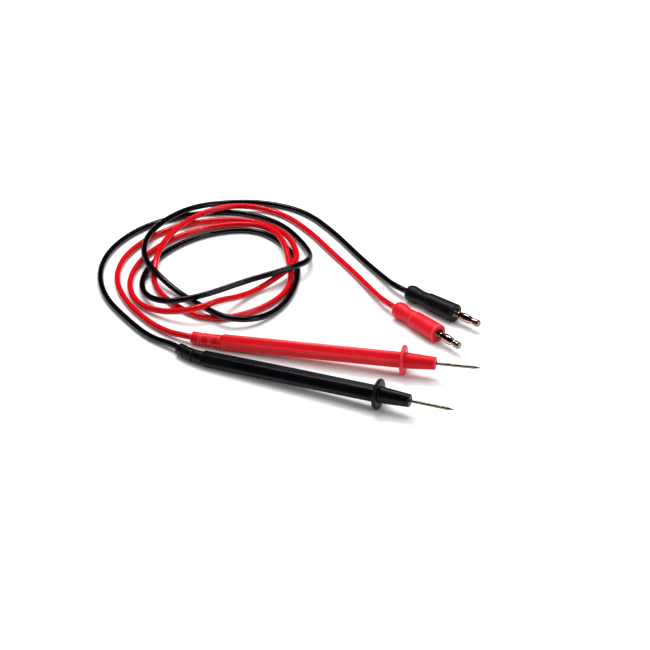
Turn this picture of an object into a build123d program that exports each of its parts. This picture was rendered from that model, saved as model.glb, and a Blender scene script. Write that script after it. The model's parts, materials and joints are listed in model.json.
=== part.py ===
"""A pair of test leads for a digital multimeter, one red and one black, laid out on a table.

Each lead is a probe, about a metre of flexible cord and a 4 mm lantern plug. Millimetres, +Z up,
origin on the table under the middle of the probes and plugs.

A probe and a plug are each built along +X in a frame of their own, and then laid on the table:
  probe  x = 0 is the tail of the ribbed boot, and the point of the tip is at probe_length
  plug   x = 0 is the back of the sleeve, and the nose of the pin is at plug_length
"""

import os
from math import atan, atan2, cos, degrees, pi, radians, sin, tan

from build123d import *

os.makedirs("parts", exist_ok=True)

# ---- Cord ----------------------------------------------------------------------------------------
cord_radius = 1.7
wire_radius = 0.6
slip_gap = 0.05              # radial room where one piece slides or turns in another

# ---- Probe: places along its axis ----------------------------------------------------------------
boot_length = 17.0           # ribbed part of the boot, behind the handle
boot_neck_length = 12.0      # part of the boot inside the handle
handle_length = 95.4
guard_thickness = 2.0
cone_length = 15.8
tip_bare_length = 22.8       # metal in front of the cone
tip_taper_length = 3.6       # sharpened end

handle_back = boot_length
handle_front = handle_back + handle_length
guard_front = handle_front + guard_thickness
cone_front = guard_front + cone_length
probe_length = cone_front + tip_bare_length

# ---- Probe: handle -------------------------------------------------------------------------------
handle_back_apothem = 3.8    # half the width across flats, at the boot
handle_mid_apothem = 3.97
handle_front_apothem = 3.87
handle_edge_round = 0.7
handle_swell_at = 0.55       # where it is widest, as a share of the handle's length
handle_sides = 6
handle_bore_radius = 2.5
web_thickness = 6.0          # solid web that grips the tip
socket_radius = 3.05
socket_depth = 9.4

web_front = handle_front - socket_depth
web_back = web_front - web_thickness

# ---- Probe: boot, nose and tip -------------------------------------------------------------------
boot_rib_count = 3
boot_tail_radius = 3.2
boot_front_radius = 3.6
boot_groove_width = 0.7
boot_core_radius = 2.85
boot_tail_round = 0.9
boot_bore_radius = cord_radius + slip_gap
guard_radius = 7.9
guard_edge_round = 0.85
cone_back_radius = 4.25
cone_front_radius = 3.3
cone_edge_round = 0.5
spigot_end_gap = 0.5
tip_radius = 0.85
tip_shank_radius = 1.05      # thicker stretch inside the web and the nose
tip_shank_out = 0.4          # shank showing in front of the cone
tip_point_radius = 0.16
tip_flange_radius = 1.9
tip_flange_length = 1.5
cup_radius = 1.4
cup_bore_radius = 0.85
cup_length = 5.0
cup_depth = 4.0
cup_to_web = 8.0             # from the open end of the cup to the web's back face
solder_cone_length = 1.5
bare_wire_length = 24.0      # stripped wire behind the solder cup

cup_back = web_back - cup_to_web
jacket_end = cup_back - bare_wire_length

# ---- Plug: sleeve --------------------------------------------------------------------------------
sleeve_length = 33.4
bell_radius = 4.65
bell_at = 2.9
bell_back_radius = 3.85
waist_radius = 3.95
waist_at = 9.2
shoulder_at = 13.9
shoulder_low_radius = 4.2
shoulder_high_radius = 4.6
sleeve_front_radius = 5.0
sleeve_widest_at = 31.6
sleeve_front_round = 1.4
mouth_radius = 2.9           # flared mouth where the cord comes out
mouth_depth = 5.0
cord_hole_radius = cord_radius + 0.4
core_ledge_at = 17.6         # where the wide front bore begins

# ---- Plug: metal core, contact spring and nose ---------------------------------------------------
barrel_radius = 2.6
barrel_back = 18.0
barrel_sunk = 0.4            # front of the barrel behind the sleeve's front face
pin_collar_radius = 2.35
pin_collar_length = 1.4
pin_radius = 1.3
spring_length = 11.2
spring_ring_length = 1.3
spring_ring_radius = 1.7
spring_bow_radius = 2.5
spring_sheet = 0.32
leaf_count = 4
leaf_slot_width = 1.5
nose_radius = 1.95
nose_cylinder_length = 2.4
nose_dome_length = 1.2
nose_end_radius = 1.1
nose_rivet_radius = 1.0
nose_rivet_length = 2.0
end_float = 0.1              # play of the spring between collar and nose

collar_back = sleeve_length - barrel_sunk
spring_back = collar_back + pin_collar_length + end_float
spring_front = spring_back + spring_length
nose_back = spring_front + end_float
nose_shoulder = nose_back + nose_cylinder_length
plug_length = nose_shoulder + nose_dome_length

# ---- Plug: clamp screw and cord ------------------------------------------------------------------
screw_at = 28.7
screw_radius = 1.1
screw_top = 2.3
screw_slot_width = 0.5
screw_slot_depth = 0.8
wire_hole_radius = 0.65
wire_hole_end = 30.7
cord_tail_behind_plug = 3.0  # straight cord behind the sleeve

# ---- How the pieces lie on the table -------------------------------------------------------------
# x, y of the unbent tail, heading of the axis, and turn of the handle about its axis, in degrees
probe_lay = {
    "red": (-72.5, 12.5, -13.9, 38.0),
    "black": (-80.0, -0.1, -23.55, 3.0),
}
plug_lay = {
    "red": (36.2, 40.7, -51.0),
    "black": (43.3, 58.0, -43.5),
}
# How far the pull of the cord bends each boot sideways, in degrees
boot_bend = {"red": 10.0, "black": 28.0}
cord_lead_out = 5.5          # straight cord behind the boot
cord_lead_in = 7.0           # straight cord before the plug's own cord end

# Route of each cord between the straight stretch at the boot and the one at the plug.
# Points chosen by hand.
cord_route = {
    "red": [
        (-84.9, 20.6, 2.4), (-96.4, 31.6, 1.7), (-110.9, 52.6, 1.7), (-119.4, 78.6, 1.7),
        (-115.9, 105.6, 1.7), (-100.9, 129.1, 1.7), (-78.4, 143.6, 1.7), (-54.4, 147.1, 1.7),
        (-36.9, 140.1, 2.0), (-23.9, 122.1, 5.3), (-17.9, 100.6, 5.3), (-19.4, 87.6, 5.5),
        (-27.9, 75.1, 4.8), (-40.9, 63.6, 1.7), (-50.9, 52.1, 4.6), (-58.4, 43.1, 8.7),
        (-68.4, 35.8, 8.7), (-79.9, 35.6, 6.0), (-91.9, 40.1, 3.4), (-102.9, 49.1, 1.9),
        (-109.4, 63.1, 1.7), (-110.9, 80.6, 1.7), (-105.9, 100.6, 1.7), (-93.9, 120.1, 1.7),
        (-75.4, 135.1, 1.7), (-55.9, 141.1, 1.7), (-39.9, 137.1, 3.2), (-29.9, 123.6, 5.4),
        (-24.9, 108.6, 5.4), (-22.2, 91.6, 1.7), (-21.2, 76.6, 1.7), (-24.4, 60.6, 1.7),
        (-35.4, 46.6, 1.7), (-50.4, 37.1, 1.7), (-62.9, 35.1, 1.7), (-75.4, 40.6, 1.7),
        (-88.4, 54.6, 1.7), (-95.9, 68.6, 1.7), (-97.9, 81.6, 1.7), (-97.4, 95.1, 5.4),
        (-95.4, 110.6, 5.4), (-88.4, 129.6, 5.4), (-77.4, 145.6, 5.4), (-60.4, 157.1, 5.4),
        (-42.4, 161.1, 2.3), (-25.4, 151.6, 1.7), (-10.4, 130.1, 1.7), (0.6, 108.6, 1.7),
        (14.1, 83.6, 1.7), (25.0, 59.6, 2.7),
    ],
    "black": [
        (-94.4, 16.0, 2.0), (-108.4, 34.6, 1.7), (-123.4, 58.6, 1.7), (-129.4, 87.6, 1.7),
        (-123.9, 115.6, 1.7), (-106.4, 140.6, 1.7), (-79.4, 154.6, 1.7), (-51.4, 156.1, 1.7),
        (-27.9, 141.6, 1.7), (-14.9, 117.6, 1.7), (-9.9, 98.1, 4.2), (-13.4, 83.1, 8.4),
        (-29.9, 72.6, 8.4), (-46.4, 65.6, 7.0), (-64.4, 53.6, 6.5), (-77.4, 47.3, 6.5),
        (-88.4, 46.6, 5.5), (-97.4, 52.6, 4.2), (-102.9, 64.1, 2.4), (-103.9, 79.6, 1.7),
        (-98.9, 97.6, 1.7), (-88.4, 114.6, 1.7), (-73.4, 127.6, 1.7), (-57.4, 133.6, 1.7),
        (-42.9, 133.1, 1.7), (-31.4, 124.1, 1.7), (-19.9, 104.6, 1.7), (-17.2, 84.6, 1.7),
        (-19.2, 65.6, 1.7), (-24.9, 48.6, 1.7), (-33.9, 36.1, 2.6), (-42.9, 30.2, 4.2),
        (-53.4, 29.6, 5.3), (-61.9, 35.6, 5.3), (-68.9, 45.1, 3.8), (-76.4, 55.1, 1.8),
        (-86.4, 65.1, 3.4), (-95.4, 76.1, 5.8), (-101.9, 87.6, 5.8), (-105.4, 101.6, 5.4),
        (-104.9, 119.6, 5.4), (-97.4, 137.6, 5.4), (-82.4, 154.6, 5.4), (-62.4, 165.6, 3.0),
        (-38.4, 168.1, 1.7), (-14.4, 156.6, 1.7), (2.6, 131.1, 1.7), (17.6, 100.6, 1.7),
        (30.6, 76.6, 2.4),
    ],
}


# ---- Helpers -------------------------------------------------------------------------------------
def turned(*points):
    """A solid of revolution about the X axis from (x, radius) points of its half section."""
    return revolve(make_face(Polyline(*points, close=True)), Axis.X)


def rod(x_start, x_end, radius):
    """A plain cylinder along X."""
    return turned((x_start, 0), (x_start, radius), (x_end, radius), (x_end, 0))


def rim_edges(solid, x, radius):
    """The circular edges of a turned solid at one place and radius."""
    rims = solid.edges().filter_by(GeomType.CIRCLE)
    return [edge for edge in rims if abs(edge.radius - radius) < 0.02 and abs(edge.arc_center.X - x) < 0.02]


def hexagon_at(x, apothem):
    """The rounded hexagon of the handle's outside, across its axis at x."""
    outline = RegularPolygon(apothem, handle_sides, major_radius=False)
    return Plane.YZ.offset(x) * fillet(outline.vertices(), handle_edge_round)


# ---- Probe pieces --------------------------------------------------------------------------------
def make_handle():
    swell = handle_back + handle_swell_at * handle_length
    back = hexagon_at(handle_back, handle_back_apothem)
    middle = hexagon_at(swell, handle_mid_apothem)
    front = hexagon_at(handle_front, handle_front_apothem)
    body = loft([back, middle], ruled=True) + loft([middle, front], ruled=True)
    body -= rod(handle_back - 1, web_back, handle_bore_radius)
    body -= rod(web_back - 1, web_front + 1, tip_shank_radius)
    body -= rod(web_front, handle_front + 1, socket_radius)
    return body


def bend_path(color):
    """The axis of the bent boot, from the handle's back to the tail."""
    bend = boot_bend[color]
    return JernArc(start=(handle_back, 0, 0), tangent=(-1, 0, 0), radius=boot_length / radians(bend),
                   arc_size=-bend)


def bent_rod(color, radius):
    """A round rod along the boot's bent axis."""
    path = bend_path(color)
    return sweep(Plane(origin=path @ 0, z_dir=path % 0) * Circle(radius), path=path)


def make_boot(color):
    """Soft ribbed tail, bent by the cord: ribs on a core, and a neck inside the handle."""
    path = bend_path(color)
    pitch = boot_length / boot_rib_count
    half_rib = (pitch - boot_groove_width) / 2
    boot = bent_rod(color, boot_core_radius)
    for rib in range(boot_rib_count):
        share = (rib + 0.5) / boot_rib_count
        low = boot_front_radius + (boot_tail_radius - boot_front_radius) * (rib + 0.9) / boot_rib_count
        high = boot_front_radius + (boot_tail_radius - boot_front_radius) * rib / boot_rib_count
        rib_solid = turned((-half_rib, 0), (-half_rib, low), (half_rib, high), (half_rib, 0))
        if rib == boot_rib_count - 1:
            rib_solid = fillet(rim_edges(rib_solid, -half_rib, low), boot_tail_round)
        turn = degrees(atan2((path % share).Y, (path % share).X)) - 180
        boot += Pos(*(path @ share)) * Rot(0, 0, turn) * rib_solid
    boot += rod(handle_back, handle_back + boot_neck_length, handle_bore_radius - slip_gap)
    boot -= bent_rod(color, boot_bore_radius)
    return boot - rod(handle_back, handle_back + boot_neck_length, boot_bore_radius)


def make_nose_guard():
    """Nose cone, finger guard and the spigot that screws into the handle, in one moulding."""
    spigot_radius = socket_radius - slip_gap
    bore = tip_shank_radius + slip_gap
    spigot_back = web_front + spigot_end_gap
    nose = turned(
        (spigot_back, bore), (spigot_back, spigot_radius), (handle_front, spigot_radius),
        (handle_front, guard_radius), (guard_front, guard_radius), (guard_front, cone_back_radius),
        (cone_front, cone_front_radius), (cone_front, bore),
    )
    nose = fillet(rim_edges(nose, handle_front, guard_radius) + rim_edges(nose, guard_front, guard_radius),
                  guard_edge_round)
    nose = fillet(rim_edges(nose, cone_front, cone_front_radius), cone_edge_round)
    return fillet(rim_edges(nose, guard_front, cone_back_radius), cone_edge_round)


def make_tip_pin():
    """Plated tip: a solder cup, a flange behind the web, a straight rod and a sharp point."""
    cup_bottom = cup_back + cup_depth
    flange_start = web_back - tip_flange_length
    shank_end = cone_front + tip_shank_out
    taper_start = probe_length - tip_taper_length
    return turned(
        (cup_bottom, 0), (cup_bottom, cup_bore_radius), (cup_back, cup_bore_radius), (cup_back, cup_radius),
        (cup_back + cup_length, cup_radius), (cup_back + cup_length, tip_shank_radius),
        (flange_start, tip_shank_radius),
        (flange_start, tip_flange_radius), (web_back, tip_flange_radius), (web_back, tip_shank_radius),
        (shank_end, tip_shank_radius), (shank_end, tip_radius), (taper_start, tip_radius),
        (probe_length, tip_point_radius), (probe_length, 0),
    )


def make_solder_joint():
    """Solder that fills the cup round the wire and stands up as a small cone."""
    cup_bottom = cup_back + cup_depth
    cone_back = cup_back - solder_cone_length
    return turned(
        (cone_back, wire_radius), (cup_back, cup_radius - 0.1), (cup_back, cup_bore_radius),
        (cup_bottom, cup_bore_radius), (cup_bottom, wire_radius),
    )


def make_probe_wire():
    return rod(jacket_end, cup_back + cup_depth, wire_radius)


def make_probe_cord_end(color):
    """The cord's last stretch, inside the boot and the handle."""
    return rod(handle_back, jacket_end, cord_radius) + bent_rod(color, cord_radius)


# ---- Plug pieces ---------------------------------------------------------------------------------
def make_sleeve():
    """Waisted sleeve: bell at the back, a waist, a small step and a cone that widens to the front."""
    bore_radius = barrel_radius + slip_gap
    back = Spline((0, bell_back_radius), (bell_at, bell_radius), (waist_at, waist_radius),
                  (shoulder_at, shoulder_low_radius), tangents=[(0.5, 1), (1, 0), (1, 0), (1, 0.1)])
    front = Polyline(
        (shoulder_at, shoulder_low_radius), (shoulder_at + 0.3, shoulder_high_radius),
        (sleeve_widest_at, sleeve_front_radius), (sleeve_length, sleeve_front_radius),
        (sleeve_length, bore_radius), (core_ledge_at, bore_radius),
        (core_ledge_at, cord_hole_radius), (mouth_depth, cord_hole_radius), (0, mouth_radius),
        (0, bell_back_radius),
    )
    sleeve = revolve(make_face([back, front]), Axis.X)
    sleeve = fillet(rim_edges(sleeve, sleeve_length, sleeve_front_radius), sleeve_front_round)
    return fillet(rim_edges(sleeve, 0, bell_back_radius), 0.3)


def make_plug_core():
    """Turned metal core: barrel with the wire hole and screw hole, collar and thin pin."""
    core = turned(
        (barrel_back, 0), (barrel_back, barrel_radius), (collar_back, barrel_radius),
        (collar_back, pin_collar_radius),
        (collar_back + pin_collar_length, pin_collar_radius), (collar_back + pin_collar_length, pin_radius),
        (nose_back, pin_radius), (nose_back, nose_rivet_radius),
        (nose_back + nose_rivet_length, nose_rivet_radius), (nose_back + nose_rivet_length, 0),
    )
    core -= rod(barrel_back - 1, wire_hole_end, wire_hole_radius)
    screw_hole = Pos(screw_at, 0, 0) * Cylinder(
        screw_radius + slip_gap, barrel_radius + 1, align=(Align.CENTER, Align.CENTER, Align.MIN))
    return core - screw_hole


def make_contact_spring():
    """Lantern spring: bowed leaves between two rings, free to turn on the pin."""
    inner = pin_radius + slip_gap
    bow_start = spring_back + spring_ring_length
    bow_end = spring_front - spring_ring_length
    middle = (bow_start + bow_end) / 2
    outside = [
        Line((spring_back, inner), (spring_back, spring_ring_radius)),
        Line((spring_back, spring_ring_radius), (bow_start, spring_ring_radius)),
        ThreePointArc((bow_start, spring_ring_radius), (middle, spring_bow_radius),
                      (bow_end, spring_ring_radius)),
        Line((bow_end, spring_ring_radius), (spring_front, spring_ring_radius)),
        Line((spring_front, spring_ring_radius), (spring_front, inner)),
    ]
    inside = [
        Line((spring_front, inner), (bow_end, inner)),
        ThreePointArc((bow_end, inner), (middle, spring_bow_radius - spring_sheet), (bow_start, inner)),
        Line((bow_start, inner), (spring_back, inner)),
    ]
    cage = revolve(make_face(outside + inside), Axis.X)
    slot_length = bow_end - bow_start - 0.6
    slot = Box(slot_length, leaf_slot_width, 2 * spring_bow_radius + 2)
    for turn in range(leaf_count // 2):
        cage -= Pos(middle, 0, 0) * Rot(45 + turn * 180 / (leaf_count // 2), 0, 0) * slot
    return cage


def make_plug_nose():
    """Rounded nose pressed on the end of the pin, which keeps the spring on."""
    rivet_end = nose_back + nose_rivet_length
    dome_middle = (nose_shoulder + 0.62 * nose_dome_length,
                   nose_end_radius + 0.8 * (nose_radius - nose_end_radius))
    outline = [
        Polyline((plug_length, nose_end_radius), (plug_length, 0), (rivet_end, 0),
                 (rivet_end, nose_rivet_radius), (nose_back, nose_rivet_radius),
                 (nose_back, nose_radius), (nose_shoulder, nose_radius)),
        ThreePointArc((nose_shoulder, nose_radius), dome_middle, (plug_length, nose_end_radius)),
    ]
    return revolve(make_face(outline), Axis.X)


def make_clamp_screw():
    """Slotted grub screw that presses the wire; it stays just under the barrel's surface."""
    foot = wire_radius + slip_gap
    height = screw_top - foot
    screw = Pos(screw_at, 0, foot) * Cylinder(
        screw_radius, height, align=(Align.CENTER, Align.CENTER, Align.MIN))
    slot = Pos(screw_at, 0, screw_top) * Box(
        screw_slot_width, 2 * screw_radius + 1, 2 * screw_slot_depth)
    return screw - slot


def make_plug_wire():
    return rod(barrel_back, wire_hole_end, wire_radius)


def make_plug_cord_end():
    """The cord's last stretch, through the sleeve to the metal core."""
    return rod(-cord_tail_behind_plug, barrel_back, cord_radius)


# ---- Free cord -----------------------------------------------------------------------------------
def bend_radii(points):
    """The largest even bend at each point: 0.45 of the shorter run over the tangent of half the turn."""
    radii = []
    for before, here, after in zip(points, points[1:], points[2:]):
        run_in = Vector(*here) - Vector(*before)
        run_out = Vector(*after) - Vector(*here)
        half_turn = radians(run_in.get_angle(run_out)) / 2
        radii.append(0.45 * min(run_in.length, run_out.length) / tan(half_turn))
    return radii


def make_cord(color, probe_frame, plug_frame):
    """The free cord: a straight lead-out, the route, and a straight lead-in to the plug."""
    bend = bend_path(color)
    tail = bend @ 1
    clear_of_boot = tail + (bend % 1) * cord_lead_out
    at_plug = (-cord_tail_behind_plug, 0, 0)
    before_plug = (-cord_tail_behind_plug - cord_lead_in, 0, 0)
    start = [tuple((probe_frame * Pos(*point)).position) for point in (tail, clear_of_boot)]
    end = [tuple((plug_frame * Pos(*point)).position) for point in (before_plug, at_plug)]
    points = start + cord_route[color] + end
    radii = bend_radii(points)
    path = FilletPolyline(*points, radius=radii)
    tube = sweep(Plane(origin=path @ 0, z_dir=path % 0) * Circle(cord_radius), path=path)
    expected = pi * cord_radius**2 * path.length
    print(f"{color} cord: length {path.length:.1f}, volume {tube.volume:.1f} of {expected:.1f}")
    print("  bend radii", [round(radius, 1) for radius in radii])
    print("  first and last points", [[round(v, 2) for v in point] for point in start + end])
    return tube


# ---- Laying the pieces on the table --------------------------------------------------------------
def handle_rest_height(roll):
    """Height of the handle's axis over the table at its back end, with its lowest edge or flat down."""
    corner = (handle_back_apothem - handle_edge_round) / cos(pi / handle_sides)
    step = 360 / handle_sides
    off_corner = (270 - roll + step / 2) % step - step / 2
    return corner * cos(radians(off_corner)) + handle_edge_round


def probe_location(color):
    """The probe rests on its guard's rim and on the back end of its handle."""
    x, y, heading, roll = probe_lay[color]
    guard_at = handle_front + guard_thickness / 2
    rest = handle_rest_height(roll)
    tilt = atan((guard_radius - rest) / (guard_at - handle_back))
    tail_height = rest * cos(tilt) - handle_back * sin(tilt)
    frame = Pos(x, y, tail_height) * Rot(0, 0, heading) * Rot(0, -degrees(tilt), 0)
    return frame, frame * Rot(roll, 0, 0)


def plug_location(color):
    """The plug rests on the sleeve's bell and on its widest place."""
    x, y, heading = plug_lay[color]
    tilt = atan((sleeve_front_radius - bell_radius) / (sleeve_widest_at - bell_at))
    back_height = bell_radius * cos(tilt) - bell_at * sin(tilt)
    return Pos(x, y, back_height) * Rot(0, 0, heading) * Rot(0, -degrees(tilt), 0)


def write_node(name, shape):
    shape.label = name
    export_step(shape, f"parts/{name}.step")


for color in ("red", "black"):
    probe_frame, handle_frame = probe_location(color)
    plug_frame = plug_location(color)
    write_node(f"{color}_handle", handle_frame * make_handle())
    write_node(f"{color}_boot", probe_frame * make_boot(color))
    write_node(f"{color}_nose_guard", probe_frame * make_nose_guard())
    write_node(f"{color}_tip_pin", probe_frame * make_tip_pin())
    write_node(f"{color}_solder_joint", probe_frame * make_solder_joint())
    write_node(f"{color}_probe_wire", probe_frame * make_probe_wire())
    write_node(f"{color}_probe_cord_end", probe_frame * make_probe_cord_end(color))
    write_node(f"{color}_plug_sleeve", plug_frame * make_sleeve())
    write_node(f"{color}_plug_core", plug_frame * make_plug_core())
    write_node(f"{color}_contact_spring", plug_frame * make_contact_spring())
    write_node(f"{color}_plug_nose", plug_frame * make_plug_nose())
    write_node(f"{color}_clamp_screw", plug_frame * make_clamp_screw())
    write_node(f"{color}_plug_wire", plug_frame * make_plug_wire())
    write_node(f"{color}_plug_cord_end", plug_frame * make_plug_cord_end())
    write_node(f"{color}_cord", make_cord(color, probe_frame, plug_frame))
    print(f"{color} probe frame {probe_frame}, plug frame {plug_frame}")
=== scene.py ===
# %% [markdown]
# # A pair of multimeter test leads
# Two leads, one red and one black. Each has a probe with a needle point, about a metre of limp
# cord, and a plug with a lantern spring. The CAD model settles every size and every place.
# This lesson gives the pieces their real edges and their real finishes.
# The cells run from top to bottom. Lengths along a piece are in millimetres, and the last step
# of each piece turns them into metres and lays the piece where the CAD piece lies.

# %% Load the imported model
import json
import math

import bmesh
import bpy
from mathutils import Matrix, Vector


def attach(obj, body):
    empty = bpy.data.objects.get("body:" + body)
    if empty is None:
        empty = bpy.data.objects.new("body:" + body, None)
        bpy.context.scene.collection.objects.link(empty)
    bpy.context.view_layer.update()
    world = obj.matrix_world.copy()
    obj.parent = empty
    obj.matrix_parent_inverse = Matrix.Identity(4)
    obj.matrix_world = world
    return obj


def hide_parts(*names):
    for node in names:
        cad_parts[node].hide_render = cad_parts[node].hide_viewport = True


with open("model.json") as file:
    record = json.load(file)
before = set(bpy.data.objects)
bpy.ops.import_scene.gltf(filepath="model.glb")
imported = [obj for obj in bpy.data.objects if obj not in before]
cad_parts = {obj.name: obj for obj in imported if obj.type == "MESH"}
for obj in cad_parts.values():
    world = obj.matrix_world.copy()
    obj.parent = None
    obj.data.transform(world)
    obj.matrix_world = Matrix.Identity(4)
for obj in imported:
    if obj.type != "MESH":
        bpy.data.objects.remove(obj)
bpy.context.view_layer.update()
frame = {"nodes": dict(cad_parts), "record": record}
record = frame["record"]
MM = 0.001

# %% [markdown]
# ## Camera
# A camera is a lens and a place to stand. The leads lie flat, and the eye looks down on them at
# 32 degrees, from 0.9 m away. A long lens keeps the probes nearly parallel, as an eye would see
# them. `to_track_quat` turns the camera's own -Z axis, its line of sight, on to the target.

# %% Stand the camera in front of the table
target = Vector((-0.0024, 0.0316, 0.0))
distance = 0.9
elevation = math.radians(32)
stand = target + distance * Vector((0, -math.cos(elevation), math.sin(elevation)))
camera = bpy.data.objects.new("camera", bpy.data.cameras.new("camera"))
camera.location = stand
camera.rotation_mode = "QUATERNION"
camera.rotation_quaternion = (target - stand).to_track_quat("-Z", "Y")
camera.data.lens = 93.5
camera.data.sensor_width = 36
bpy.context.scene.collection.objects.link(camera)
bpy.context.scene.camera = camera
print("camera at, mm", [round(v / MM) for v in stand])

# %% [markdown]
# ## The cords' routes
# A cord is one smooth line with a round section. A NURBS spline suits it: its control points
# pull the line towards them without kinks, as a limp cord bends. The routes are the CAD routes.
# The order and the end rule are set after the points, since Blender lowers the order while a
# spline still has too few of them.

# %% Routes, from the boot's tail to the back of the plug
cord_route = {
    "red": [
        (-0.07206, 0.01392, 0.0036), (-0.07709, 0.01614, 0.0034), (-0.0849, 0.0206, 0.0024),
        (-0.0964, 0.0316, 0.0017), (-0.1109, 0.0526, 0.0017), (-0.1194, 0.0786, 0.0017),
        (-0.1159, 0.1056, 0.0017), (-0.1009, 0.1291, 0.0017), (-0.0784, 0.1436, 0.0017),
        (-0.0544, 0.1471, 0.0017), (-0.0369, 0.1401, 0.002), (-0.0239, 0.1221, 0.0053),
        (-0.0179, 0.1006, 0.0053), (-0.0194, 0.0876, 0.0055), (-0.0279, 0.0751, 0.0048),
        (-0.0409, 0.0636, 0.0017), (-0.0509, 0.0521, 0.0046), (-0.0584, 0.0431, 0.0087),
        (-0.0684, 0.0358, 0.0087), (-0.0799, 0.0356, 0.006), (-0.0919, 0.0401, 0.0034),
        (-0.1029, 0.0491, 0.0019), (-0.1094, 0.0631, 0.0017), (-0.1109, 0.0806, 0.0017),
        (-0.1059, 0.1006, 0.0017), (-0.0939, 0.1201, 0.0017), (-0.0754, 0.1351, 0.0017),
        (-0.0559, 0.1411, 0.0017), (-0.0399, 0.1371, 0.0032), (-0.0299, 0.1236, 0.0054),
        (-0.0249, 0.1086, 0.0054), (-0.0222, 0.0916, 0.0017), (-0.0212, 0.0766, 0.0017),
        (-0.0244, 0.0606, 0.0017), (-0.0354, 0.0466, 0.0017), (-0.0504, 0.0371, 0.0017),
        (-0.0629, 0.0351, 0.0017), (-0.0754, 0.0406, 0.0017), (-0.0884, 0.0546, 0.0017),
        (-0.0959, 0.0686, 0.0017), (-0.0979, 0.0816, 0.0017), (-0.0974, 0.0951, 0.0054),
        (-0.0954, 0.1106, 0.0054), (-0.0884, 0.1296, 0.0054), (-0.0774, 0.1456, 0.0054),
        (-0.0604, 0.1571, 0.0054), (-0.0424, 0.1611, 0.0023), (-0.0254, 0.1516, 0.0017),
        (-0.0104, 0.1301, 0.0017), (0.0006, 0.1086, 0.0017), (0.0141, 0.0836, 0.0017),
        (0.025, 0.0596, 0.0027), (0.02991, 0.04847, 0.00449), (0.03431, 0.04303, 0.00458),
    ],
    "black": [
        (-0.07776, 0.00337, 0.00321), (-0.08118, 0.00767, 0.00301), (-0.0944, 0.016, 0.002),
        (-0.1084, 0.0346, 0.0017), (-0.1234, 0.0586, 0.0017), (-0.1294, 0.0876, 0.0017),
        (-0.1239, 0.1156, 0.0017), (-0.1064, 0.1406, 0.0017), (-0.0794, 0.1546, 0.0017),
        (-0.0514, 0.1561, 0.0017), (-0.0279, 0.1416, 0.0017), (-0.0149, 0.1176, 0.0017),
        (-0.0099, 0.0981, 0.0042), (-0.0134, 0.0831, 0.0084), (-0.0299, 0.0726, 0.0084),
        (-0.0464, 0.0656, 0.007), (-0.0644, 0.0536, 0.0065), (-0.0774, 0.0473, 0.0065),
        (-0.0884, 0.0466, 0.0055), (-0.0974, 0.0526, 0.0042), (-0.1029, 0.0641, 0.0024),
        (-0.1039, 0.0796, 0.0017), (-0.0989, 0.0976, 0.0017), (-0.0884, 0.1146, 0.0017),
        (-0.0734, 0.1276, 0.0017), (-0.0574, 0.1336, 0.0017), (-0.0429, 0.1331, 0.0017),
        (-0.0314, 0.1241, 0.0017), (-0.0199, 0.1046, 0.0017), (-0.0172, 0.0846, 0.0017),
        (-0.0192, 0.0656, 0.0017), (-0.0249, 0.0486, 0.0017), (-0.0339, 0.0361, 0.0026),
        (-0.0429, 0.0302, 0.0042), (-0.0534, 0.0296, 0.0053), (-0.0619, 0.0356, 0.0053),
        (-0.0689, 0.0451, 0.0038), (-0.0764, 0.0551, 0.0018), (-0.0864, 0.0651, 0.0034),
        (-0.0954, 0.0761, 0.0058), (-0.1019, 0.0876, 0.0058), (-0.1054, 0.1016, 0.0054),
        (-0.1049, 0.1196, 0.0054), (-0.0974, 0.1376, 0.0054), (-0.0824, 0.1546, 0.0054),
        (-0.0624, 0.1656, 0.003), (-0.0384, 0.1681, 0.0017), (-0.0144, 0.1566, 0.0017),
        (0.0026, 0.1311, 0.0017), (0.0176, 0.1006, 0.0017), (0.0306, 0.0766, 0.0024),
        (0.03605, 0.06488, 0.00449), (0.04112, 0.06006, 0.00458),
    ],
}

# %% One spline with a round section
cord_diameter = 3.4 * MM


def lay_cord(name, points):
    """A cord as a curve: one open NURBS spline, thickened to a round section."""
    line = bpy.data.curves.new(name, "CURVE")
    line.dimensions = "3D"
    line.resolution_u = 10
    line.bevel_depth = cord_diameter / 2
    line.bevel_resolution = 7
    spline = line.splines.new("NURBS")
    spline.points.add(len(points) - 1)
    for control, place in zip(spline.points, points):
        control.co = (*place, 1)
    spline.order_u = 3
    spline.use_endpoint_u = True
    cord = bpy.data.objects.new(name, line)
    bpy.context.scene.collection.objects.link(cord)
    return cord


def line_length(cord):
    """The length of the spline itself, measured on a copy with no thickness."""
    bare = cord.copy()
    bare.data = cord.data.copy()
    bare.data.bevel_depth = 0
    bpy.context.scene.collection.objects.link(bare)
    bpy.context.view_layer.update()
    mesh = bpy.data.meshes.new_from_object(bare.evaluated_get(bpy.context.evaluated_depsgraph_get()))
    ends = [[mesh.vertices[i].co for i in edge.vertices] for edge in mesh.edges]
    length = sum((near - far).length for near, far in ends)
    bpy.data.objects.remove(bare)
    bpy.data.meshes.remove(mesh)
    return length


cords = {color: lay_cord(f"{color}_free_cord", cord_route[color]) for color in cord_route}
cord_length = {color: line_length(cord) for color, cord in cords.items()}
print("cord lengths, mm", {color: round(length / MM) for color, length in cord_length.items()})

# %% [markdown]
# ## Finding each probe and plug
# The record's mounts say where the tip and the plug's pin are, and which way they point. From
# one point at a known station, and the axis, comes the matrix that lays a piece built along +X
# where the CAD piece is. Up is as near to vertical as the axis allows.

# %% The two matrices of each lead
tip_station = 140.0      # mm from the boot's tail to the middle of the bare straight rod
pin_station = 47.0       # mm from the sleeve's back to the middle of the nose's cylinder


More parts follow.
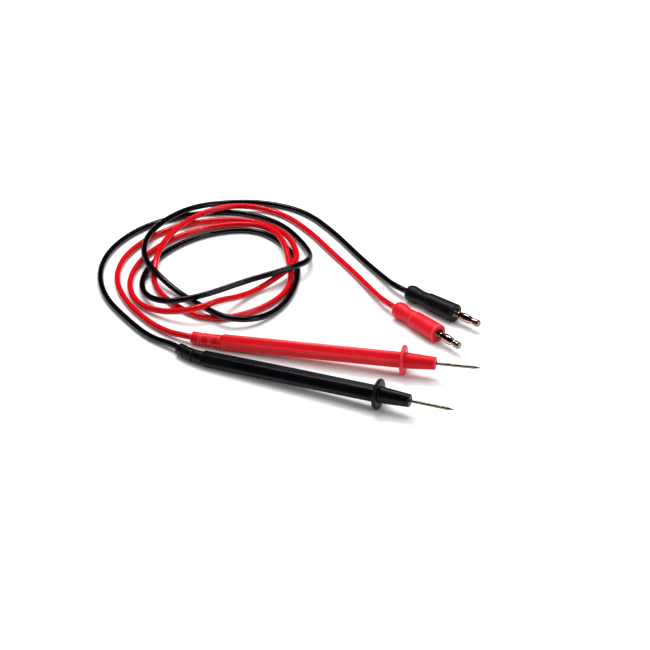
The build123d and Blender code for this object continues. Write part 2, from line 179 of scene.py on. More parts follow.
def laid_on(mount_name, station):
    """The matrix from millimetres along a piece's own axis to metres in the row frame."""
    mount = next(m for m in record["mounts"] if m["name"] == mount_name)
    along = Vector(mount["axis"]).normalized()
    across = Vector((0, 0, 1)).cross(along).normalized()
    turn = Matrix((along, across, along.cross(across))).transposed()
    place = (turn * MM).to_4x4()
    place.translation = Vector(mount["pos_m"]) - along * station * MM
    return place


probe_place = {color: laid_on(f"{color}_probe_tip", tip_station) for color in cords}
plug_place = {color: laid_on(f"{color}_plug_pin", pin_station) for color in cords}
for color in cords:
    print(color, "tail of the probe, mm", [round(v / MM, 1) for v in probe_place[color].translation])

# %% [markdown]
# ## A lathe, and a way to round corners
# Most pieces are turned or moulded round: boot, nose, sleeve, tip, pin. Their half section is a
# short list of corners, and each corner has the radius that a mould or a cutter leaves. The
# lathe turns the section into rings of vertices and writes on each vertex the distance along
# the piece. Other steps write how far an edge is lightened, as wear and as a painted highlight,
# and the finishes read both.

# %% Round the corners of a half section
def rounded(corners, steps=5):
    """Points (x, r) of a closed half section whose corners (x, r, radius) are arcs."""
    points = []
    count = len(corners)
    for i, (x, r, radius) in enumerate(corners):
        here = Vector((x, r))
        if radius == 0:
            points.append((x, r))
            continue
        back = Vector(corners[i - 1][:2]) - here
        ahead = Vector(corners[(i + 1) % count][:2]) - here
        half = back.angle(ahead) / 2
        reach = min(radius / math.tan(half), 0.49 * back.length, 0.49 * ahead.length)
        radius = reach * math.tan(half)
        middle = here + (back.normalized() + ahead.normalized()).normalized() * (radius / math.sin(half))
        start = here + back.normalized() * reach - middle
        sweep = start.angle_signed(here + ahead.normalized() * reach - middle)
        for k in range(steps + 1):
            spoke = Matrix.Rotation(-sweep * k / steps, 2) @ start
            points.append(tuple(middle + spoke))
    return points


# %% Turn a section into a closed mesh
def skin(name, section, ring, place):
    """A closed mesh from rings of points round the X axis; ring(x, r) gives one ring's (y, z)."""
    mesh = bmesh.new()
    along = mesh.verts.layers.float.new("along")
    rings = []
    for x, r in section:
        if r < 1e-6:
            verts = [mesh.verts.new((x, 0, 0))]
        else:
            verts = [mesh.verts.new((x, y, z)) for y, z in ring(x, r)]
        for vert in verts:
            vert[along] = x
        rings.append(verts)
    for near, far in zip(rings, rings[1:] + rings[:1]):
        count = max(len(near), len(far))
        if count == 1:
            continue
        for k in range(count):
            m = (k + 1) % count
            corners = [near[k % len(near)], near[m % len(near)], far[m % len(far)], far[k % len(far)]]
            mesh.faces.new(list(dict.fromkeys(corners)))
    bmesh.ops.recalc_face_normals(mesh, faces=mesh.faces)
    return finish_mesh(name, mesh, place)


def finish_mesh(name, mesh, place, crease=35):
    """A mesh object at the origin, with its place in its vertices and smooth faces."""
    data = bpy.data.meshes.new(name)
    mesh.to_mesh(data)
    mesh.free()
    data.transform(place)
    data.shade_smooth()
    data.set_sharp_from_angle(angle=math.radians(crease))
    piece = bpy.data.objects.new(name, data)
    bpy.context.scene.collection.objects.link(piece)
    return piece


def round_ring(steps):
    """A ring of evenly spaced points at radius r."""
    turns = [2 * math.pi * k / steps for k in range(steps)]
    return lambda x, r: [(r * math.cos(a), r * math.sin(a)) for a in turns]


def dress(piece, body, nodes, finish):
    """Rides the piece on its body, puts it in place of its CAD nodes and gives it a finish."""
    piece.data.materials.clear()
    piece.data.materials.append(finish)
    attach(piece, body)
    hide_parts(*nodes)
    return piece

# %% [markdown]
# ## Finishes
# Four plastics in two colours, and six metals. Plasticised PVC is pulled over the wire while
# hot, so a cord is glossy. The same PVC is moulded for the boots and sleeves, which come out
# duller. The handles are a hard plastic from a mould with a fine spark-eroded skin. Nickel
# plating keeps the rings that the lathe left in the brass under it.
# Each pattern's scale comes from a real size in millimetres.

# %% Colours and nodes
def linear(hex_code):
    """A colour given as sRGB hex, as the linear values that the shader wants."""
    parts = [int(hex_code[i:i + 2], 16) / 255 for i in (1, 3, 5)]
    return (*(c / 12.92 if c <= 0.04045 else ((c + 0.055) / 1.055) ** 2.4 for c in parts), 1.0)


def add(tree, kind, settings=None, values=None, links=None):
    """A node with its settings, its fixed values and its links, placed to the right of the last."""
    node = tree.nodes.new(kind)
    node.location = (220 * len(tree.nodes), 0)
    for key, value in (settings or {}).items():
        setattr(node, key, value)
    for key, value in (values or {}).items():
        node.inputs[key].default_value = value
    for key, source in (links or {}).items():
        tree.links.new(source, node.inputs[key])
    return node


def new_finish(name):
    """An empty material with its output, and the place on the surface that patterns read."""
    finish = bpy.data.materials.new(name)
    finish.use_nodes = True
    tree = finish.node_tree
    tree.nodes.clear()
    place = add(tree, "ShaderNodeTexCoord").outputs["Object"]
    return finish, tree, place


def per_metre(size_mm):
    """The scale of a noise whose lumps are about this size across."""
    return 1 / (size_mm * MM)


# %% [markdown]
# ### Plastics
# All the plastics share one recipe, and the numbers tell them apart. Pigment is never quite
# even, so the colour drifts a little over a centimetre. Handling leaves patches that are
# smoother or duller than the rest. A fine noise in the bump is the skin that the mould or the
# die left. Hard edges are painted a lighter colour, partly as wear and partly as a painted highlight.

# %% One recipe for the plastics
def plastic(name, colors, gloss, patch_mm, grain_mm, grain_height_mm, glint, coat=0.0):
    """Plastic with drifting pigment, handling patches, a moulded skin and edges lightened as wear and as a
    painted highlight.
    """
    finish, tree, place = new_finish(name)
    deep, face, edge_wear_and_highlight = (linear(c) for c in colors)
    drift = add(tree, "ShaderNodeTexNoise", values={"Scale": per_metre(9), "Detail": 3.0},
                links={"Vector": place})
    pigment = add(tree, "ShaderNodeMix", {"data_type": "RGBA"}, links={0: drift.outputs["Fac"]})
    pigment.inputs[6].default_value = deep
    pigment.inputs[7].default_value = face
    # The edge colour is lighter partly for wear and partly as a painted highlight. A noise breaks it up.
    edge = add(tree, "ShaderNodeAttribute", {"attribute_name": "wear_and_highlight"})
    edge_breakup = add(tree, "ShaderNodeTexNoise",
                 values={"Scale": per_metre(1.2), "Detail": 5.0, "Roughness": 0.7}, links={"Vector": place})
    wear_and_highlight_mask = add(tree, "ShaderNodeMath", {"operation": "MULTIPLY"},
              links={0: edge.outputs["Fac"], 1: edge_breakup.outputs["Fac"]})
    colour = add(tree, "ShaderNodeMix", {"data_type": "RGBA"},
                 links={0: wear_and_highlight_mask.outputs[0], 6: pigment.outputs[2]})
    colour.inputs[7].default_value = edge_wear_and_highlight
    patches = add(tree, "ShaderNodeTexNoise", values={"Scale": per_metre(patch_mm), "Detail": 4.0},
                  links={"Vector": place})
    dull = add(tree, "ShaderNodeMapRange", values={1: 0.3, 2: 0.7, 3: gloss[0], 4: gloss[1]},
               links={0: patches.outputs["Fac"]})
    grain = add(tree, "ShaderNodeTexNoise", values={"Scale": per_metre(grain_mm), "Detail": 2.0},
                links={"Vector": place})
    skin_bump = add(tree, "ShaderNodeBump", values={"Strength": 1.0, "Distance": grain_height_mm * MM},
                    links={"Height": grain.outputs["Fac"]})
    shader = add(tree, "ShaderNodeBsdfPrincipled",
                 values={"IOR": 1.5, "Specular IOR Level": glint, "Coat Weight": coat,
                         "Coat Roughness": 0.12},
                 links={"Base Color": colour.outputs[2], "Roughness": dull.outputs[0],
                        "Normal": skin_bump.outputs[0]})
    add(tree, "ShaderNodeOutputMaterial", links={"Surface": shader.outputs[0]})
    return finish


# %% The colours of the two leads
# Each triple is the pigment's deep shade, its face and its edge colour, lighter for wear and as a painted
# highlight.
shades = {
    "red": {
        "shell": ("#BC000E", "#D20014", "#F84050"),
        "boot": ("#BA0010", "#D00016", "#F0505C"),
        "sleeve": ("#C8041A", "#DC0A24", "#FF6470"),
        "jacket": ("#B40010", "#C80814", "#F05058"),
    },
    "black": {
        "shell": ("#010104", "#030308", "#181820"),
        "boot": ("#020205", "#040409", "#1A1A22"),
        "sleeve": ("#05060A", "#090A10", "#24252E"),
        "jacket": ("#020205", "#040409", "#1A1A22"),
    },
}
glint = {"red": 0.2, "black": 0.16}       # strength of the mirror-like part; 0.5 is a plain plastic
finishes = {}
for color, shade in shades.items():
    finishes[color, "shell"] = plastic(f"{color} handle plastic, spark-eroded", shade["shell"],
                                       (0.26, 0.36), 14, 0.30, 0.008, glint[color])
    finishes[color, "boot"] = plastic(f"{color} boot PVC, moulded", shade["boot"],
                                      (0.30, 0.42), 7, 0.35, 0.012, glint[color])
    finishes[color, "sleeve"] = plastic(f"{color} sleeve PVC, matt moulded", shade["sleeve"],
                                        (0.38, 0.50), 6, 0.28, 0.016, glint[color])
    finishes[color, "jacket"] = plastic(f"{color} cord PVC, extruded", shade["jacket"],
                                        (0.18, 0.26), 11, 0.9, 0.010, glint[color], coat=0.2)
print("plastics", sorted(finish.name for finish in finishes.values()))

# %% [markdown]
# ### Metals
# The tip, the core and the nose of the plug are turned from brass bar and plated with nickel,
# which is a little warmer than chrome. A one-way noise along the piece draws the lathe's rings.
# The leaves are plated too, but rolled from sheet, so theirs is a plain fine grain.
# The fine tool marks are about 0.05 mm apart, so they are drawn about three times as coarse to
# show at all.

# %% One recipe for the metals
def metal(name, colors, gloss, ring_mm=0.0, ring_height_mm=0.0, grain_mm=0.4, grain_height_mm=0.004):
    """Bare or plated metal with tarnish that drifts, and turning rings if it is turned."""
    finish, tree, place = new_finish(name)
    bright, tarnished = (linear(c) for c in colors)
    film = add(tree, "ShaderNodeTexNoise", values={"Scale": per_metre(2.5), "Detail": 5.0},
               links={"Vector": place})
    colour = add(tree, "ShaderNodeMix", {"data_type": "RGBA"}, links={0: film.outputs["Fac"]})
    colour.inputs[6].default_value = bright
    colour.inputs[7].default_value = tarnished
    dull = add(tree, "ShaderNodeMapRange", values={1: 0.3, 2: 0.7, 3: gloss[0], 4: gloss[1]},
               links={0: film.outputs["Fac"]})
    grain = add(tree, "ShaderNodeTexNoise", values={"Scale": per_metre(grain_mm), "Detail": 3.0},
                links={"Vector": place})
    bump = add(tree, "ShaderNodeBump", values={"Strength": 1.0, "Distance": grain_height_mm * MM},
               links={"Height": grain.outputs["Fac"]})
    if ring_mm:
        station = add(tree, "ShaderNodeAttribute", {"attribute_name": "along"})
        rings = add(tree, "ShaderNodeTexNoise", {"noise_dimensions": "1D"},
                    {"Scale": 1 / ring_mm, "Detail": 2.0}, {"W": station.outputs["Fac"]})
        bump = add(tree, "ShaderNodeBump", values={"Strength": 1.0, "Distance": ring_height_mm * MM},
                   links={"Height": rings.outputs["Fac"], "Normal": bump.outputs[0]})
    shader = add(tree, "ShaderNodeBsdfPrincipled", values={"Metallic": 1.0},
                 links={"Base Color": colour.outputs[2], "Roughness": dull.outputs[0],
                        "Normal": bump.outputs[0]})
    add(tree, "ShaderNodeOutputMaterial", links={"Surface": shader.outputs[0]})
    return finish


# The nickel of the tip and the plug nose is painted darker than plating is, as a painted dark reflection. Its
# patches still drift at random as tarnish.
turned_nickel_painted_dark = metal("nickel plate on turned brass, painted darker", ("#A0968B", "#75695E"), (0.22, 0.32), 0.16, 0.0015)
sheet_nickel = metal("nickel plate on rolled spring bronze", ("#C2B7AC", "#9A8B7F"), (0.12, 0.24))
# The plug core's nickel is painted far darker than plating is. This is painted shade for its place in the
# sleeve's mouth.
core_nickel_painted_shade = metal("nickel plate, darkened as painted shade", ("#6E655C", "#453E38"), (0.24, 0.34), 0.16, 0.002)
zinc_screw = metal("zinc plate on steel", ("#B4B6BA", "#8E9096"), (0.25, 0.40))
bright_solder = metal("tin solder, as it froze", ("#B6B6B8", "#8C8C90"), (0.20, 0.38),
                      grain_mm=0.8, grain_height_mm=0.03)
tinned_wire = metal("tinned copper strand", ("#C0A890", "#A88468"), (0.28, 0.42),
                    grain_mm=0.25, grain_height_mm=0.02)
metals = (turned_nickel_painted_dark, core_nickel_painted_shade, sheet_nickel, zinc_screw, bright_solder, tinned_wire)
print("metals", [finish.name for finish in metals])

# %% [markdown]
# ## The cords
# The cords take their jacket, ride on the root body and stand for the CAD tubes.

# %% Jackets on the cords
for color, cord in cords.items():
    dress(cord, "leads", [f"{color}_cord"], finishes[color, "jacket"])

# %% [markdown]
# ## The handles
# A handle is a hard moulding with six flats, widest a little past its middle, so that it sits in
# the fingers. Its section is a hexagon with round corners. One ring of points serves the outside
# and, at the same angles, the round bores inside, so the whole wall closes as one skin.

# %% A ring with six flats
facet_edge = 0.7         # mm, radius of a corner of the hexagon
arc_points = 6
flat_points = 3
hexagon_limit = 3.5      # mm, sections wider than this are the hexagon, narrower ones the bores


def hexagon_points(apothem):
    """(y, z) points round a hexagon with round corners; half the width across flats is given."""
    reach = (apothem - facet_edge) / math.cos(math.pi / 6)
    points = []
    for corner in range(6):
        middle = corner * math.pi / 3
        centre = (reach * math.cos(middle), reach * math.sin(middle))
        for k in range(arc_points + 1):
            a = middle - math.pi / 6 + math.pi / 3 * k / arc_points
            points.append((centre[0] + facet_edge * math.cos(a), centre[1] + facet_edge * math.sin(a)))
        ahead = middle + math.pi / 3
        next_start = (reach * math.cos(ahead) + facet_edge * math.cos(ahead - math.pi / 6),
                      reach * math.sin(ahead) + facet_edge * math.sin(ahead - math.pi / 6))
        last = points[-1]
        for k in range(1, flat_points + 1):
            t = k / (flat_points + 1)
            points.append((last[0] + (next_start[0] - last[0]) * t, last[1] + (next_start[1] - last[1]) * t))
    return points


def handle_ring(x, r):
    """The hexagon outside, and a circle through the same angles inside."""
    outline = hexagon_points(max(r, hexagon_limit))
    if r > hexagon_limit:
        return outline
    return [(r * y / math.hypot(y, z), r * z / math.hypot(y, z)) for y, z in outline]


# %% The handle's wall
handle_section = rounded([
    (17.0, 2.5, 0), (17.0, 3.8, 0.3), (69.47, 3.97, 0), (112.4, 3.87, 0.25), (112.4, 3.05, 0.1),
    (103.0, 3.05, 0), (103.0, 1.05, 0), (97.0, 1.05, 0), (97.0, 2.5, 0),
])
handle_roll = {"red": 38.0, "black": 3.0}     # degrees about the axis


corner_start = 4.1535    # mm off the axis, where the lighter edge of a corner begins, partly wear and partly painted highlight
corner_fade = 0.195      # mm, from there to the full edge colour


def mark_corner_wear_and_highlight(piece, place):
    """Writes 1 on the hexagon's corners and 0 on its flats, for edges lightened as wear and as a painted
    highlight.
    """
    wear_and_highlight = piece.data.attributes.new("wear_and_highlight", "FLOAT", "POINT")
    back = place.inverted()
    for vert in piece.data.vertices:
        local = back @ vert.co
        out = math.hypot(local.y, local.z)
        wear_and_highlight.data[vert.index].value = max(0.0, min(1.0, (out - corner_start) / corner_fade))


for color in cords:
    rolled = probe_place[color] @ Matrix.Rotation(math.radians(handle_roll[color]), 4, "X")
    handle = skin(f"{color}_grip", handle_section, handle_ring, rolled)
    # The corners' lighter lines are partly wear and partly a painted highlight.
    mark_corner_wear_and_highlight(handle, rolled)
    dress(handle, "leads", [f"{color}_handle"], finishes[color, "shell"])
    print(handle.name, len(handle.data.polygons), "faces")

# %% [markdown]
# ## The boots
# The boot is the soft tail that keeps the cord from kinking where it leaves the handle. Its ribs
# are the same shape three times, each a little larger than the one behind it. That is work for
# Geometry Nodes: one rib is turned once, and a short tree sets it along the axis and grows it.
# The tube under the ribs, with its neck in the handle, is turned by itself and joined to them.

# %% A tree that repeats a rib along the axis and grows it
def rib_tree(finish):
    """Geometry Nodes: the rib given, set along X and scaled up across the axis from rib to rib."""
    tree = bpy.data.node_groups.new("ribs along a boot", "GeometryNodeTree")
    face = tree.interface
    face.new_socket("Rib", in_out="INPUT", socket_type="NodeSocketGeometry")
    for name, kind in (("Count", "Int"), ("Pitch", "Float"), ("Growth", "Float")):
        face.new_socket(name, in_out="INPUT", socket_type=f"NodeSocket{kind}")
    face.new_socket("Boot", in_out="OUTPUT", socket_type="NodeSocketGeometry")
    given = add(tree, "NodeGroupInput")
    pitch = add(tree, "ShaderNodeCombineXYZ", links={"X": given.outputs["Pitch"]})
    line = add(tree, "GeometryNodeMeshLine",
               links={"Count": given.outputs["Count"], "Offset": pitch.outputs[0]})
    index = add(tree, "GeometryNodeInputIndex")
    grown = add(tree, "ShaderNodeMath", {"operation": "MULTIPLY_ADD"}, {2: 1.0},
                {0: index.outputs[0], 1: given.outputs["Growth"]})
    scale = add(tree, "ShaderNodeCombineXYZ", values={"X": 1.0},
                links={"Y": grown.outputs[0], "Z": grown.outputs[0]})
    ribs = add(tree, "GeometryNodeInstanceOnPoints",
               links={"Points": line.outputs[0], "Instance": given.outputs["Rib"], "Scale": scale.outputs[0]})
    real = add(tree, "GeometryNodeRealizeInstances", links={"Geometry": ribs.outputs[0]})
    dressed = add(tree, "GeometryNodeSetMaterial", values={"Material": finish},
                  links={"Geometry": real.outputs[0]})
    add(tree, "NodeGroupOutput", links={0: dressed.outputs[0]})
    return tree


def grow(piece, tree, **inputs):
    """Runs a tree on a piece and keeps the result as a plain mesh."""
    modifier = piece.modifiers.new("tree", "NODES")
    modifier.node_group = tree
    for item in tree.interface.items_tree:
        if item.in_out == "INPUT" and item.name in inputs:
            modifier[item.identifier] = inputs[item.name]
    bpy.context.view_layer.update()
    made = bpy.data.meshes.new_from_object(piece.evaluated_get(bpy.context.evaluated_depsgraph_get()))
    piece.modifiers.clear()
    piece.data = made
    return piece


def joined(name, pieces, place, crease=35):
    """Several pieces, still in millimetres along their own axis, as one mesh laid in place."""
    mesh = bmesh.new()
    for piece in pieces:
        mesh.from_mesh(piece.data)
        bpy.data.objects.remove(piece)
    return finish_mesh(name, mesh, place, crease)


# %% The ribs and the tube under them
still = Matrix.Identity(4)
rib_count = 3
rib_growth = 0.041       # each rib is this much larger, as a share of the first
boot_length = 17.0       # mm, the part behind the handle
boot_pitch = boot_length / rib_count


def stepped(x0, r0, x1, r1, count):
    """Evenly spaced section points from one corner towards another, so that a long wall can bend."""
    return [(x0 + (x1 - x0) * k / count, r0 + (r1 - r0) * k / count, 0) for k in range(1, count)]


rib_section = rounded([
    (0.35, 2.6, 0), (0.35, 3.22, 0.6), *stepped(0.35, 3.22, 5.31, 3.34, 4), (5.31, 3.34, 0.28),
    (5.31, 2.6, 0),
])
boot_section = rounded([
    (0.0, 1.76, 0.1), (0.0, 2.85, 0.5), *stepped(0.0, 2.85, 17.0, 2.85, 16), (17.0, 2.85, 0), (17.0, 2.45, 0),
    (29.0, 2.45, 0), (29.0, 1.76, 0), (17.0, 1.76, 0), *stepped(17.0, 1.76, 0.0, 1.76, 16),
])
boot_bend = {"red": 10.0, "black": 28.0}      # degrees that the cord has pulled each boot aside


def mark_rim_wear_and_highlight(piece, place, stations, width=0.4):
    """Writes 1 near the given stations along the piece and 0 elsewhere, for rims lightened as wear and as a
    painted highlight.
    """
    wear_and_highlight = piece.data.attributes.new("wear_and_highlight", "FLOAT", "POINT")
    back = place.inverted()
    for vert in piece.data.vertices:
        local = back @ vert.co
        near = min(abs(local.x - station) for station in stations)
        wear_and_highlight.data[vert.index].value = max(0.0, 1.0 - near / width)


def bend_boot(piece, degrees_aside):
    """Lays the ribbed part of a straight boot along a circular arc that starts at the handle."""
    radius = boot_length / math.radians(degrees_aside)
    for vert in piece.data.vertices:
        x, y, z = vert.co
        if x < boot_length:
            turn = (boot_length - x) / radius
            out = radius - y
            vert.co = (boot_length - out * math.sin(turn), radius - out * math.cos(turn), z)


for color in cords:
    ribs = grow(skin("rib", rib_section, round_ring(64), still), rib_tree(finishes[color, "boot"]),
                Count=rib_count, Pitch=boot_pitch, Growth=rib_growth)
    tube = skin("tube", boot_section, round_ring(64), still)
    boot = joined(f"{color}_ribbed_boot", [tube, ribs], still)
    # The rims' lighter lines are partly wear and partly a painted highlight.
    mark_rim_wear_and_highlight(boot, still, [boot_pitch * k + edge for k in range(rib_count) for edge in (0.5, 5.2)])
    bend_boot(boot, boot_bend[color])
    boot.data.transform(probe_place[color])
    dress(boot, "leads", [f"{color}_boot"], finishes[color, "boot"])
    print(boot.name, len(boot.data.polygons), "faces")

# %% [markdown]
# ## Finger guard and nose
# One moulding: a spigot that goes into the handle, a disc that stops the fingers, and a cone
# that covers the tip down to its last bare stretch. The disc's rim is fully round, and it is
# the edge that rubs most when the probe lies on a bench. Its lighter colour, like the cone's
# mouth, is partly that wear and partly a painted highlight.

# %% Turn the guard with its nose
guard_radius = 7.9       # mm
mouth_station = 130.0    # mm from the boot's tail, where the cone's rounded end is worn and painted with a highlight
wear_and_highlight_width = 0.5          # mm to either side of a lightened line
guard_section = rounded([
    (103.5, 1.10, 0), (103.5, 3.0, 0.2), (112.4, 3.0, 0), (112.4, guard_radius, 0.9),
    (114.4, guard_radius, 0.9), (114.4, 4.25, 0.5), (129.0, 3.37, 0), (130.2, 3.3, 0.5),
    (130.2, 1.10, 0.15),
])


def mark_guard_wear_and_highlight(piece, place):
    """Writes 1 at the rim of the disc and the mouth of the cone, lightened as wear and as a painted
    highlight.
    """
    wear_and_highlight = piece.data.attributes.new("wear_and_highlight", "FLOAT", "POINT")
    back = place.inverted()
    for vert in piece.data.vertices:
        local = back @ vert.co
        out = math.hypot(local.y, local.z)
        rim = max(0.0, 1.0 - abs(out - guard_radius) / wear_and_highlight_width)
        mouth = max(0.0, 1.0 - abs(local.x - mouth_station) / wear_and_highlight_width) if out > 2.6 else 0.0
        wear_and_highlight.data[vert.index].value = min(1.0, max(rim, mouth))


for color in cords:
    guard = skin(f"{color}_guard_and_nose", guard_section, round_ring(96), probe_place[color])
    # The rim's and the mouth's lighter lines are partly wear and partly a painted highlight.
    mark_guard_wear_and_highlight(guard, probe_place[color])
    dress(guard, f"{color}_nose", [f"{color}_nose_guard"], finishes[color, "boot"])
    print(guard.name, len(guard.data.polygons), "faces")

# %% [markdown]
# ## The tips
# A brass rod turned to a needle and plated. Inside it has a shank that the handle grips, a
# flange, and a cup for the wire. The point isn't quite sharp, or it would bend at once.

# %% Turn the tips
tip_section = rounded([
    (93.0, 0.0, 0), (93.0, 0.85, 0), (89.0, 0.85, 0), (89.0, 1.4, 0.1), (94.0, 1.4, 0.1), (94.0, 1.05, 0),
    (95.5, 1.05, 0), (95.5, 1.9, 0.1), (97.0, 1.9, 0.1), (97.0, 1.05, 0), (130.6, 1.05, 0.12),
    (130.6, 0.85, 0), (149.4, 0.85, 1.0), (152.8, 0.18, 0.2), (153.0, 0.06, 0.03), (153.0, 0.0, 0),
])
for color in cords:
    tip = skin(f"{color}_needle", tip_section, round_ring(48), probe_place[color])
    dress(tip, "leads", [f"{color}_tip_pin"], turned_nickel_painted_dark)
    print(tip.name, len(tip.data.polygons), "faces")

# %% [markdown]
# ## The plugs' sleeves
# A soft sleeve with a bell at the back, a waist for two fingers, a small step, and a cone that
# widens to a round front edge.

# %% Turn the sleeves
def waist(x):
    """The radius of the sleeve behind the step: bell, waist and low shoulder, on smooth curves."""
    marks = [(0.9, 4.36), (2.9, 4.65), (9.2, 3.95), (13.9, 4.2)]
    for (x0, r0), (x1, r1) in zip(marks, marks[1:]):
        if x <= x1:
            t = (x - x0) / (x1 - x0)
            return r0 + (r1 - r0) * t * t * (3 - 2 * t)
    return marks[-1][1]


waist_stations = (0.9, 1.5, 2.2, 2.9, 3.8, 4.8, 5.9, 7.0, 8.1, 9.2, 10.4, 11.6, 12.8, 13.6)
behind_step = [(x, waist(x), 0) for x in waist_stations]
sleeve_section = rounded([
    (0.0, 2.9, 0.25), (0.0, 3.85, 0.3), *behind_step, (13.9, 4.2, 0.1), (14.2, 4.6, 0.18), (15.0, 4.62, 0),
    (31.6, 5.0, 0), (33.4, 5.0, 1.35), (33.4, 2.65, 0.25), (17.6, 2.65, 0), (17.6, 2.1, 0), (5.0, 2.1, 0),
], 7)
for color in cords:
    sleeve = skin(f"{color}_finger_sleeve", sleeve_section, round_ring(96), plug_place[color])
    # The sleeve's lighter rims are partly wear and partly a painted highlight.
    mark_rim_wear_and_highlight(sleeve, plug_place[color], [0.3, 14.2, 32.8], 0.6)
    dress(sleeve, f"{color}_sleeve", [f"{color}_plug_sleeve"], finishes[color, "sleeve"])
    print(sleeve.name, len(sleeve.data.polygons), "faces")

# %% [markdown]
# ## The lantern springs
# Four leaves, rolled from one sheet, bow out between two rings and press on the socket's wall.
# A leaf is the same four times round the pin, so one leaf is made and a tree turns it about the
# axis. The rings are turned on the lathe. Everything is one loose cage, free to turn.

# %% A tree that repeats a leaf round the axis
def cage_tree(finish):
    """Geometry Nodes: the leaf given, repeated evenly round the X axis."""
    tree = bpy.data.node_groups.new("leaves round a pin", "GeometryNodeTree")
    face = tree.interface
    face.new_socket("Leaf", in_out="INPUT", socket_type="NodeSocketGeometry")
    face.new_socket("Count", in_out="INPUT", socket_type="NodeSocketInt")
    face.new_socket("Cage", in_out="OUTPUT", socket_type="NodeSocketGeometry")
    given = add(tree, "NodeGroupInput")
    line = add(tree, "GeometryNodeMeshLine", values={"Offset": (0, 0, 0)},
               links={"Count": given.outputs["Count"]})
    index = add(tree, "GeometryNodeInputIndex")
    share = add(tree, "ShaderNodeMath", {"operation": "DIVIDE"},
                links={0: index.outputs[0], 1: given.outputs["Count"]})
    turn = add(tree, "ShaderNodeMath", {"operation": "MULTIPLY"}, {1: 2 * math.pi}, {0: share.outputs[0]})
    about_x = add(tree, "ShaderNodeCombineXYZ", links={"X": turn.outputs[0]})
    leaves = add(tree, "GeometryNodeInstanceOnPoints",
                 links={"Points": line.outputs[0], "Instance": given.outputs["Leaf"],
                        "Rotation": about_x.outputs[0]})
    real = add(tree, "GeometryNodeRealizeInstances", links={"Geometry": leaves.outputs[0]})
    dressed = add(tree, "GeometryNodeSetMaterial", values={"Material": finish},
                  links={"Geometry": real.outputs[0]})
    add(tree, "NodeGroupOutput", links={0: dressed.outputs[0]})
    return tree


# %% One bowed leaf
spring_back, spring_front = 34.5, 45.7      # mm from the sleeve's back
ring_length = 1.3
ring_in, ring_out, bow_out, sheet = 1.35, 1.7, 2.5, 0.32
leaf_count = 4
leaf_tuck = 0.15         # mm that a leaf runs into each ring
edge_drop = 0.05         # mm that a leaf's edges are thinned on each face
slot_width = 1.5


def leaf_radius(x):
    """The outside of the bow: an arc from ring to ring through its widest place."""
    start, end = spring_back + ring_length, spring_front - ring_length
    half, rise = (end - start) / 2, bow_out - ring_out
    arc = (half ** 2 + rise ** 2) / (2 * rise)
    off = x - (start + end) / 2
    return ring_out - (arc - rise) + math.sqrt(arc ** 2 - off ** 2)


def bowed_leaf(name, lengthwise=28, across=8):
    """A closed strip of sheet, bowed along the axis and rolled to its radius across it."""
    mesh = bmesh.new()
    along = mesh.verts.layers.float.new("along")
    start, end = spring_back + ring_length - leaf_tuck, spring_front - ring_length + leaf_tuck
    grid = []
    for i in range(lengthwise + 1):
        x = start + (end - start) * i / lengthwise
        out = leaf_radius(min(max(x, start + leaf_tuck), end - leaf_tuck))
        half_turn = math.pi / leaf_count - math.asin(slot_width / 2 / out)
        row = []
        for side in (0, 1):
            for k in range(across + 1):
                a = half_turn * (2 * k / across - 1) * (1 if side == 0 else -1)
                r = out if side == 0 else out - sheet
                if k in (0, across):
                    r += -edge_drop if side == 0 else edge_drop
                row.append(mesh.verts.new((x, r * math.cos(a), r * math.sin(a))))
                row[-1][along] = x
        grid.append(row)
    wide = len(grid[0])
    for near, far in zip(grid, grid[1:]):
        for k in range(wide):
            mesh.faces.new((near[k], near[(k + 1) % wide], far[(k + 1) % wide], far[k]))
    mesh.faces.new(grid[0])
    mesh.faces.new(grid[-1])
    bmesh.ops.recalc_face_normals(mesh, faces=mesh.faces)
    return finish_mesh(name, mesh, still, 50)


# %% The whole cage
def end_ring(x0, x1):
    """A ring of the cage, with edges just broken."""
    section = [(x0, ring_in, 0.05), (x0, ring_out, 0.1), (x1, ring_out, 0.06), (x1, ring_in, 0.05)]
    return skin("ring", rounded(section, 3), round_ring(48), still)


for color in cords:
    leaves = grow(bowed_leaf("leaf"), cage_tree(sheet_nickel), Count=leaf_count)
    rings = [end_ring(x, x + ring_length) for x in (spring_back, spring_front - ring_length)]
    cage = joined(f"{color}_lantern_spring", [leaves, *rings], plug_place[color], 50)
    dress(cage, f"{color}_spring", [f"{color}_contact_spring"], sheet_nickel)
    print(cage.name, len(cage.data.polygons), "faces")

# %% [markdown]
# ## Noses of the plugs
# The nose is pressed on the pin's end and keeps the spring on. It is a short cylinder with a
# blunt, rounded end, so that the plug finds its socket.

# %% Turn the noses
nose_section = rounded([
    (45.8, 1.0, 0), (45.8, 1.95, 0.12), (48.2, 1.95, 0.5), (48.95, 1.72, 0.5), (49.4, 1.1, 0.25),
    (49.4, 0.0, 0), (47.8, 0.0, 0), (47.8, 1.0, 0),
])
for color in cords:
    nose = skin(f"{color}_plug_end", nose_section, round_ring(48), plug_place[color])
    dress(nose, "leads", [f"{color}_plug_nose"], turned_nickel_painted_dark)
    print(nose.name, len(nose.data.polygons), "faces")

# %% [markdown]
# ## Pieces straight from the CAD
# The core of the plug, the clamp screw, the solder and the short ends of wire and cord already
# have the right shape. A CAD mesh is loose triangles, so each is copied, its doubled vertices
# are merged, and the copy is smoothed where the surface turns gently.

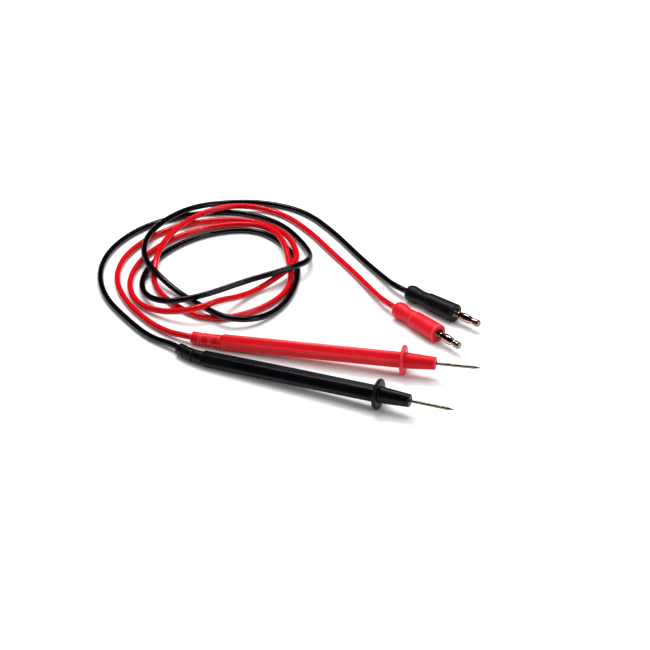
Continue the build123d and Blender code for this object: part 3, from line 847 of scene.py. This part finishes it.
# %% Merged copies with their finishes
def merged_copy(node, name):
    """A copy of a CAD node's mesh at the origin, with its doubled vertices merged."""
    source = frame["nodes"][node]
    mesh = bmesh.new()
    mesh.from_mesh(source.data)
    bmesh.ops.transform(mesh, matrix=source.matrix_world, verts=mesh.verts)
    bmesh.ops.remove_doubles(mesh, verts=mesh.verts, dist=0.001 * MM)
    bmesh.ops.recalc_face_normals(mesh, faces=mesh.faces)
    return finish_mesh(name, mesh, still, 30)


for color in cords:
    jacket = finishes[color, "jacket"]
    for node, body, slot, finish in (
        ("plug_core", "leads", "plated_brass", core_nickel_painted_shade),
        ("clamp_screw", f"{color}_screw", "zinc_steel", zinc_screw),
        ("solder_joint", "leads", "solder", bright_solder),
        ("probe_wire", "leads", "tinned_copper", tinned_wire),
        ("plug_wire", "leads", "tinned_copper", tinned_wire),
        ("probe_cord_end", "leads", f"{color}_jacket", jacket),
        ("plug_cord_end", "leads", f"{color}_jacket", jacket),
    ):
        piece = merged_copy(f"{color}_{node}", f"{color}_{node}_finished")
        dress(piece, body, [f"{color}_{node}"], finish)
    print(color, "CAD pieces finished")

# %% [markdown]
# ## The cords' lengths
# A cord is a fixed length of something limp. Each cord's length is measured along its spline
# where the cords are laid.

# %% [markdown]
# ## Table and light
# A plain pale table. A wide soft light overhead makes soft shadows and is kept out of
# reflections. A narrow strip behind draws one clean line along each cord, a weaker light from
# the front right shows the faces, and a dim even sky, also left out of reflections, fills the
# shadows. The scene is given the sky first, because its ray setting updates the scene's sky.

# %% The table
def table_top():
    """A pale matt table, wide enough to have no edge in sight."""
    mesh = bmesh.new()
    bmesh.ops.create_grid(mesh, x_segments=2, y_segments=2, size=3.0)
    top = finish_mesh("table_top", mesh, still)
    finish, tree, place = new_finish("pale matt laminate")
    speck = add(tree, "ShaderNodeTexNoise", values={"Scale": per_metre(4), "Detail": 2.0},
                links={"Vector": place})
    colour = add(tree, "ShaderNodeMix", {"data_type": "RGBA"}, links={0: speck.outputs["Fac"]})
    colour.inputs[6].default_value = linear("#E9E9E9")
    colour.inputs[7].default_value = linear("#EEEEEE")
    shader = add(tree, "ShaderNodeBsdfPrincipled", values={"Roughness": 0.9, "Specular IOR Level": 0.1},
                 links={"Base Color": colour.outputs[2]})
    add(tree, "ShaderNodeOutputMaterial", links={"Surface": shader.outputs[0]})
    top.data.materials.append(finish)
    return top


table_top()

# %% The lights
def soft_light(name, place, aim, size, watts, glints=True):
    """A soft light at a place, facing a point on the table; it may be left out of reflections."""
    light = bpy.data.lights.new(name, "AREA")
    light.shape = "RECTANGLE"
    light.size, light.size_y = size
    light.energy = watts
    lamp = bpy.data.objects.new(name, light)
    lamp.visible_glossy = glints
    lamp.location = place
    lamp.rotation_mode = "QUATERNION"
    lamp.rotation_quaternion = (Vector(aim) - Vector(place)).to_track_quat("-Z", "Y")
    bpy.context.scene.collection.objects.link(lamp)


soft_light("wide_above", (0.0, 0.45, 1.20), (0, 0.05, 0), (1.5, 1.2), 17, glints=False)
soft_light("strip_behind", (-0.10, 0.55, 0.85), (0, 0.05, 0), (0.60, 0.10), 6)
soft_light("fill_right", (0.95, -0.55, 0.60), (0, 0.02, 0), (0.35, 0.35), 3)
world = bpy.data.worlds.new("sky")
world.use_nodes = True
world.node_tree.nodes["Background"].inputs["Color"].default_value = (1, 1, 1, 1)
world.node_tree.nodes["Background"].inputs["Strength"].default_value = 0.5
bpy.context.scene.world = world
world.cycles_visibility.glossy = False
bpy.context.scene.view_settings.view_transform = "Standard"
